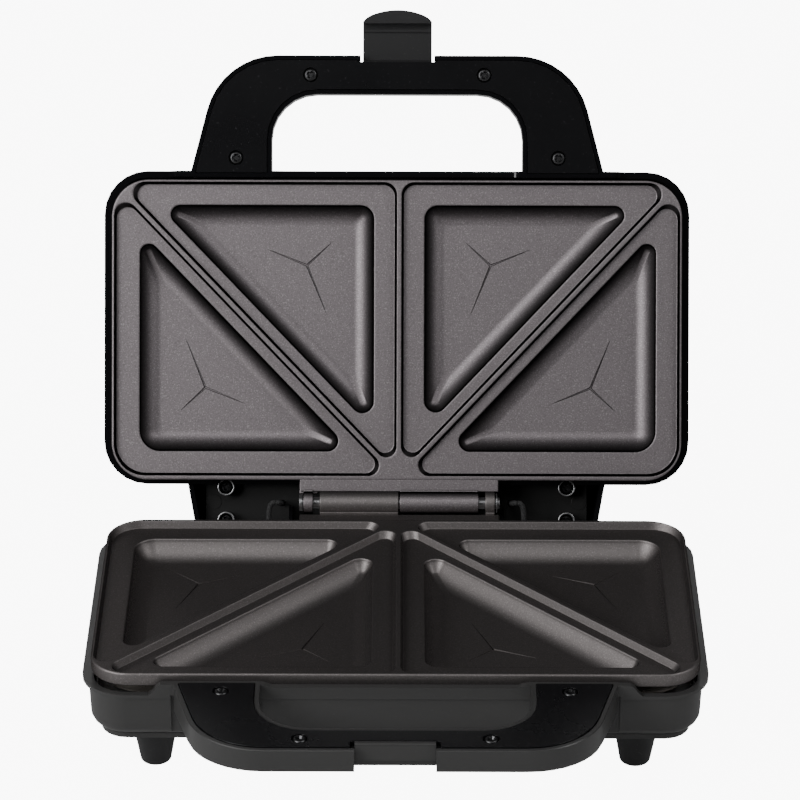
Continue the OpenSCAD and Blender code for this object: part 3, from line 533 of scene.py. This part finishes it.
plate = {
    "width": 250, "depth": 132, "thickness": 6, "cornerRadius": 16.5,
    "frontRim": 1.3, "rearRim": 2.2, "ridge": 2.0, "hingeBack": 9.5, "hingeRise": 3.0,
    "crustWidth": 10, "rearCrust": 10.6, "crustDiagonal": 5.6, "crustDepth": 3.0,
    "pocketDepth": 7.6, "wall": 3.1,
    # the pattern sits a little to the right, so each half has its own reach and outer border
    "middle": 1.0, "reach": {-1: 124.8, 1: 122.9}, "outerBorder": {-1: 11.1, 1: 10.3},
    # corner radii of the front and rear triangle of a half
    "crustRadii": ([5.1, 5.5, 4.5], [5.2, 4.6, 13.5]),
    "pocketRadii": ([4.3, 6, 5.1], [4.1, 4.6, 9]),
}
profiles = {
    # inset, then height over the surface above, the floor or the underside
    "pocketLip": [(-0.6, 0), (-0.1, 0), (0.15, -0.3), (0.25, -0.9)],
    "crustLip": [(-0.4, 0), (-0.12, 0), (0.02, -0.1), (0.1, -0.4)],
    "crustFoot": [(0.92, 0.4), (0.98, 0.1), (1.05, 0), (1.35, 0)],
    "rimEdge": [(0, -1.1), (0, -0.4), (0.4, 0), (1.1, 0)],
    "skirt": [(0.9, 0), (0.35, 0.25), (0.1, 0.7)],
    "bulge": [(1.2, 4), (3.2, 1), (5.6, 0)],
    # inset, then share of the depth
    "pocketFoot": [(0.4, 0.17), (2.6, 0.66), (5.4, 1), (9, 1)],
}
curveSteps = {
    # points along each curve, then round each corner
    "pocketLip": 6, "pocketFoot": 18, "crustLip": 5, "crustFoot": 6, "rimEdge": 6,
    "plateCorner": 16, "cellCorner": 10, "bulgeCorner": 6,
}


def flippedX(corners, radii):
    return [(-c[0], c[1]) for c in reversed(corners)], radii[::-1]


# The cells of one half: the lid's are drawn turned over, with left and right changed about
def cellTriangles(name, half):
    reach, front, rear = plate["reach"][half], plate["frontRim"] - plate["depth"], -plate["rearRim"]
    rib = plate["ridge"] / 2
    crust, diagonal = plate["crustWidth"], rib + plate["crustDiagonal"]
    frontCell = [(-reach, front), (-rib, front), (-rib, rear)]
    rearCell = [(-reach, front), (-rib, rear), (-reach, rear)]
    crusts = edgesMovedIn(frontCell, [0, 0, rib]), edgesMovedIn(rearCell, [rib, 0, 0])
    pockets = (edgesMovedIn(frontCell, [crust, crust, diagonal]),
               edgesMovedIn(rearCell, [diagonal, plate["rearCrust"], plate["outerBorder"][half]]))
    way = 1 if name == "base" else -1
    cells = []
    for pair in zip(zip(crusts, plate["crustRadii"]), zip(pockets, plate["pocketRadii"])):
        if half * way > 0:
            pair = [flippedX(*shape) for shape in pair]
        cells.append([([(c[0] + way * plate["middle"], c[1]) for c in corners], radii)
                      for corners, radii in pair])
    return cells


def bezierCurve(name, points):
    curve = interpolate_bezier(*[Vector((x, z, 0)) for x, z in points], curveSteps[name])
    return [(p.x, p.y) for p in curve]


def pocketProfile():
    lip = bezierCurve("pocketLip", profiles["pocketLip"])
    foot = [(x, -share * plate["pocketDepth"]) for x, share in profiles["pocketFoot"]]
    return [(x, z - plate["crustDepth"]) for x, z in lip + bezierCurve("pocketFoot", foot)]


def crustProfile():
    lip = bezierCurve("crustLip", profiles["crustLip"])
    foot = [(x, z - plate["crustDepth"]) for x, z in profiles["crustFoot"]]
    return lip + bezierCurve("crustFoot", foot)


def buildPlate(name):
    half, depth, thick = plate["width"] / 2, plate["depth"], plate["thickness"]
    corners = [(-half, -depth), (half, -depth), (half, 0), (-half, 0)]
    radii = [plate["cornerRadius"]] * 4
    bm = bmesh.new()
    edge = bezierCurve("rimEdge", profiles["rimEdge"])
    skirt = [(x, z - thick) for x, z in profiles["skirt"]] + edge
    under, top = addSkin(bm, corners, radii, skirt, curveSteps["plateCorner"])
    topLoops, underLoops = list(top), list(under)
    bottom = -plate["crustDepth"] - plate["pocketDepth"] - plate["wall"]
    bulge = [(-0.8, -thick)] + [(x, bottom + z) for x, z in profiles["bulge"]]
    for crustShape, pocketShape in cellTriangles(name, -1) + cellTriangles(name, 1):
        crustTop, crustFloor = addSkin(bm, *crustShape, crustProfile(), curveSteps["cellCorner"],
                                       tighten=0.4)
        topLoops += crustTop
        lip, pocketFloor = addSkin(bm, *pocketShape, pocketProfile(), curveSteps["cellCorner"])
        bmesh.ops.triangle_fill(bm, edges=crustFloor + lip, use_beauty=True)
        bmesh.ops.triangle_fill(bm, edges=pocketFloor, use_beauty=True)
        bulgeTop, bulgeFloor = addSkin(bm, *pocketShape, bulge, curveSteps["bulgeCorner"])
        underLoops += bulgeTop
        bmesh.ops.triangle_fill(bm, edges=bulgeFloor, use_beauty=True)
    bmesh.ops.triangle_fill(bm, edges=topLoops, use_beauty=True)
    bmesh.ops.triangle_fill(bm, edges=underLoops, use_beauty=True)
    bmesh.ops.remove_doubles(bm, verts=bm.verts, dist=0.001)
    bmesh.ops.recalc_face_normals(bm, faces=bm.faces)
    return bm


# Score lines: a three-pointed star cut into each pocket floor

stars = {
    "width": 1.4, "depth": 0.8, "tipWidth": 0.15, "footWidth": 0.45, "tipRise": 0.3, "past": 0.15,
    "arms": [(-21, -8.5), (13.4, -12.4), (10.5, 26)],
    # middle of each star, and 1 or -1 for the way that it points
    "base": [((-38.9, -93.5), 1), ((-84.4, -38.5), -1), ((40.6, -93.5), 1), ((84.9, -38.5), -1)],
    "lid": [((-39.6, -94.5), 1), ((-84.2, -40.6), -1), ((41.2, -94.5), 1), ((85.3, -40.6), -1)],
}


def starCutter(name):
    floorZ = -plate["crustDepth"] - plate["pocketDepth"]
    way = 1 if name == "base" else -1
    bm = bmesh.new()
    for (x, y), turn in stars[name]:
        for armX, armY in stars["arms"]:
            run = Vector((-armX if x > 0 else armX, armY)) * turn
            run.x *= way
            blade = bmesh.ops.create_cube(bm, size=1)["verts"]
            for v in blade:
                v.co.y *= stars["tipWidth"] if v.co.x > 0 else 1
                v.co.y *= stars["footWidth"] if v.co.z < 0 else 1
                if v.co.x > 0 and v.co.z < 0:
                    v.co.x -= stars["tipRise"]
            bmesh.ops.scale(bm, verts=blade, vec=(run.length, stars["width"], stars["depth"] * 2))
            bmesh.ops.translate(bm, verts=blade, vec=(run.length / 2 - stars["past"], 0, 0))
            bmesh.ops.rotate(bm, verts=blade, cent=(0, 0, 0),
                             matrix=Matrix.Rotation(run.angle_signed(Vector((1, 0))), 3, "Z"))
            bmesh.ops.translate(bm, verts=blade, vec=(x * way, y, floorZ))
    bmesh.ops.recalc_face_normals(bm, faces=bm.faces)
    return bm


def addPlate(name, space, finish):
    placed = space @ Matrix.Translation((0, -plate["hingeBack"], -plate["hingeRise"]))
    casting = finishMesh(buildPlate(name), name + "Plate", placed)
    cutWith(casting, finishMesh(starCutter(name), "starCutter", placed))
    smoothShade(casting)
    wear(casting, finishes[finish], name)
    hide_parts(name + "_plate")


# Hinge knuckles, cast with the plate

knuckle = {
    "radius": 5, "bore": 2.56, "edge": 0.5, "steps": 56, "long": (0.25, 34.7), "lug": (37.6, 41.8),
    "shift": 1.2, "webInset": 0.1, "tongueHalf": 43.5, "lugFootHalf": 4.2,
    # y from and to, low end over the underside, high end over the rim, broken edge
    "web": (-5.6, -2.9, 0, 1.2, 0.4),
    "tongue": (-11.5, -4.7, 0.05, -0.12, 0.5),
    "lugFoot": (-9.5, -3.5, 0.25, -0.45, 0.8),
}


def addTube(bm, x0, x1):
    radius, bore, edge = knuckle["radius"], knuckle["bore"], knuckle["edge"]
    arc = edge * 0.3
    rings = []
    for x, r in ((x0, bore), (x0, radius - edge), (x0 + arc, radius - arc), (x0 + edge, radius),
                 (x1 - edge, radius), (x1 - arc, radius - arc), (x1, radius - edge), (x1, bore)):
        upright = Matrix.Translation((x, 0, 0)) @ Matrix.Rotation(pi / 2, 4, "Y")
        rings.append(addCircle(bm, r, knuckle["steps"], upright))
    bridgeRings(bm, rings + rings[:1])


def addBlock(bm, x0, x1, kind):
    y0, y1, low, high, edge = knuckle[kind]
    rim = -plate["hingeRise"]
    near, far = (x0, y0, rim - plate["thickness"] + low), (x1, y1, rim + high)
    verts = bmesh.ops.create_cube(bm, size=1)["verts"]
    bmesh.ops.scale(bm, verts=verts, vec=[b - a for a, b in zip(near, far)])
    bmesh.ops.translate(bm, verts=verts, vec=[(a + b) / 2 for a, b in zip(near, far)])
    breakEdges(bm, edgesOf(verts), edge, 3)


# Drawn like the base plate: its long knuckle is on the left
def addKnuckles(name, space, finish):
    shift = knuckle["shift"] if name == "base" else -knuckle["shift"]
    bm = bmesh.new()
    inset = knuckle["webInset"]
    for near, far in ((-knuckle["long"][1], -knuckle["long"][0]), knuckle["lug"]):
        addTube(bm, near + shift, far + shift)
        addBlock(bm, near + shift + inset, far + shift - inset, "web")
    for middle, kind in ((shift, "tongue"), (shift + sum(knuckle["lug"]) / 2, "lugFoot")):
        addBlock(bm, middle - knuckle[kind + "Half"], middle + knuckle[kind + "Half"], kind)
    bmesh.ops.recalc_face_normals(bm, faces=bm.faces)
    obj = finishMesh(bm, name + "Knuckles", space)
    smoothShade(obj)
    wear(obj, finishes[finish], name)


# Cross-head screws

screws = {
    "headRadius": 2.8, "headHeight": 1.5, "steps": 40,
    # share of the radius and of the height, from the seat to the top of the dome
    "head": [(0.9, -0.2), (1, 0), (1, 0.45), (0.93, 0.75), (0.8, 0.94), (0.72, 1)],
    "sharpAngle": 42, "crossHalf": 1.75, "crossWidth": 0.62, "crossDepth": 1.0,
    "innerCorner": 1.25, "footHalf": 1.05, "footWidth": 0.434,
}


def crossPoints(reach, halfWidth):
    inner = halfWidth * screws["innerCorner"]
    quarter = [Vector((reach, -halfWidth)), Vector((reach, halfWidth)), Vector((inner, inner))]
    return [p.copy() @ Matrix.Rotation(-turn * pi / 2, 2) for turn in range(4) for p in quarter]


def addScrew(bm, place, turn, scale):
    part = bmesh.new()
    height = screws["headHeight"]
    rings = []
    for r, z in screws["head"]:
        space = Matrix.Translation((0, 0, z * height))
        rings.append(addCircle(part, r * screws["headRadius"], screws["steps"], space))
    bridgeRings(part, rings)
    bmesh.ops.triangle_fill(part, edges=rings[0], use_beauty=True)
    mouth = addRing(part, crossPoints(screws["crossHalf"], screws["crossWidth"]), height)
    foot = addRing(part, crossPoints(screws["footHalf"], screws["footWidth"]), height - screws["crossDepth"])
    bridgeRings(part, [mouth, foot])
    bmesh.ops.triangle_fill(part, edges=rings[-1] + mouth, use_beauty=True)
    bmesh.ops.triangle_fill(part, edges=foot, use_beauty=True)
    bmesh.ops.recalc_face_normals(part, faces=part.faces)
    turned = Matrix.Rotation(radians(turn), 4, "Z") @ Matrix.Scale(scale, 4)
    part.transform(Matrix.Translation(place) @ turned)
    mesh = bpy.data.meshes.new("screwPart")
    part.to_mesh(mesh)
    part.free()
    bm.from_mesh(mesh)
    bpy.data.meshes.remove(mesh)


def addScrews(name, node, places, space, body, scale=1.0):
    bm = bmesh.new()
    for place, turn in places:
        addScrew(bm, place, turn, scale)
    obj = finishMesh(bm, name, space)
    smoothShade(obj, screws["sharpAngle"])
    wear(obj, finishes["screwZinc"], body)
    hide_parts(node)


grip = {"front": (38, -187.2), "root": (70.6, -150.9), "seat": -6.58, "turn": 20}
panelScrews = {"x": 75, "y": (-6.2, 8.4), "seat": -16.78, "turn": 35, "turnPerY": 9, "scale": 0.96}
gripPlaces = [(Vector((side * x, y, grip["seat"])), grip["turn"] + side * x)
              for x, y in (grip["front"], grip["root"]) for side in (-1, 1)]
panelPlaces = [(Vector((side * panelScrews["x"], y, panelScrews["seat"])),
                side * panelScrews["turn"] + y * panelScrews["turnPerY"])
               for side in (-1, 1) for y in panelScrews["y"]]

# Collars round the screws of the lid's rear panel, and its blank discs

collar = {"inner": 3.05, "outer": 3.74, "rise": 0.15, "edge": 0.06, "bossFace": -13.4, "steps": 64}
panelSharpAngle = 50
disc = {"radius": 3.3, "rise": 0.2, "edge": 0.1, "place": (80.5, 0.5), "panelFace": -19.4, "steps": 64}


def addCollars():
    inner, outer, edge = collar["inner"], collar["outer"], collar["edge"]
    low = collar["bossFace"]
    high = low + collar["rise"]
    section = [(inner, low), (outer, low), (outer, high - edge), (outer - edge, high),
               (inner + edge, high), (inner, high - edge)]
    bm = bmesh.new()
    for place, turn in panelPlaces:
        loop = [bm.verts.new((place.x + r, place.y, z)) for r, z in section]
        sides = [bm.edges.new((a, b)) for a, b in zip(loop, loop[1:] + loop[:1])]
        bmesh.ops.spin(bm, geom=loop + sides, cent=(place.x, place.y, 0), axis=(0, 0, 1), angle=2 * pi,
                       steps=collar["steps"], use_merge=True)
    bmesh.ops.recalc_face_normals(bm, faces=bm.faces)
    obj = finishMesh(bm, "screwCollars", lidTurnedOver)
    smoothShade(obj, panelSharpAngle)
    wear(obj, finishes["plainSteel"], "lid")


def addDiscs():
    x, y = disc["place"]
    bm = bmesh.new()
    for side in (-1, 1):
        bmesh.ops.create_cone(bm, cap_ends=True, segments=disc["steps"], radius1=disc["radius"],
                              radius2=disc["radius"], depth=2 * disc["rise"],
                              matrix=Matrix.Translation((side * x, y, disc["panelFace"])))
    rim = [e for e in bm.edges if all(v.co.z > disc["panelFace"] for v in e.verts)]
    breakEdges(bm, rim, disc["edge"], 3)
    obj = finishMesh(bm, "panelDiscs", lidTurnedOver)
    smoothShade(obj, panelSharpAngle)
    wear(obj, finishes["deckPlain"], "lid")


# CAD nodes that are kept or copied, and what each wears

shells = {
    # piece: node, body, finish, slot, broken edge
    "baseShell": ("base_housing", "base", "baseSatin", "base_shell", 0.35),
    "baseFloor": ("base_bottom_cover", "base", "baseSatin", "base_shell", 0.3),
    "lidShell": ("lid_housing", "lid", "lidGloss", "lid_shell", 0.35),
    "lidDeck": ("lid_deck", "lid", "deckPlain", "inner_deck", 0.25),
    "baseCover": ("base_handle_cover", "base", "coverGloss", "handle_trim", 0.3),
    "lidCover": ("lid_handle_cover", "lid", "coverGloss", "handle_trim", 0.3),
    "latchHook": ("latch", "latch", "latchSatin", "latch", 0.3),
}
slotFinish = {
    "screw": "screwZinc", "pin": "plainSteel", "element": "heaterSheath",
    "reflector": "brightSheet", "ceramic": "ivoryCeramic", "wire": "siliconeRed",
    "sleeve": "braidSleeve", "bushing": "blackRubber", "red_lens": "redLens",
    "green_lens": "greenLens", "foot": "footSatin", "base_shell": "baseSatin",
    "lid_shell": "lidGloss", "inner_deck": "deckPlain", "handle_trim": "coverGloss",
    "latch": "latchSatin", "base_coating": "baseCoatingPaintedShade", "lid_coating": "lidCoating",
}
feet = {
    "edge": 0.35,
    "nodes": ("foot_front_left", "foot_front_right", "foot_rear_left", "foot_rear_right"),
}
smallEdge = {"edge": 0.12, "sharpAngle": 40}
smallPieces = {
    # node: body, slot
    "hinge_pin": ("base", "pin"), "hinge_clip": ("base", "pin"), "cord_bushing": ("base", "bushing"),
    "power_lamp_lens": ("lid", "red_lens"), "ready_lamp_lens": ("lid", "green_lens"),
    "base_lead_sleeves": ("base", "sleeve"), "lid_lead_sleeves": ("lid", "sleeve"),
}

# Making everything

print("camera, lamps and floor")
addCamera()
addLamps()
addFloor()

print("cast plates and hinge knuckles")
for name, space, finish in (("base", baseSpace, "baseCoatingPaintedShade"), ("lid", lidTurnedOver, "lidCoating")):
    addPlate(name, space, finish)
    addKnuckles(name, space, finish)

print("housings, covers and latch")
for name, (node, body, finish, slot, edge) in shells.items():
    wear(softened(name, node, edge), finishes[finish], body)

print("screws, collars and discs")
addScrews("baseGripScrews", "base_handle_screws", gripPlaces, baseSpace, "base")
addScrews("lidGripScrews", "lid_handle_screws", gripPlaces, lidTurnedOver, "lid")
addScrews("lidDeckScrews", "lid_rear_screws", panelPlaces, lidTurnedOver, "lid", panelScrews["scale"])
addCollars()
addDiscs()

print("finishes of the remaining pieces")
for part in frame["record"]["subparts"]:
    mesh = nodes[part["node"]].data
    mesh.materials.clear()
    mesh.materials.append(finishes[slotFinish[part["material_slot"]]])
for node in feet["nodes"]:
    wear(softened(node.replace("_", "-"), node, feet["edge"]), finishes["footSatin"], "base")
for node, (body, slot) in smallPieces.items():
    wear(softened(node.replace("_", "-"), node, **smallEdge), finishes[slotFinish[slot]], body)

print("finishing")
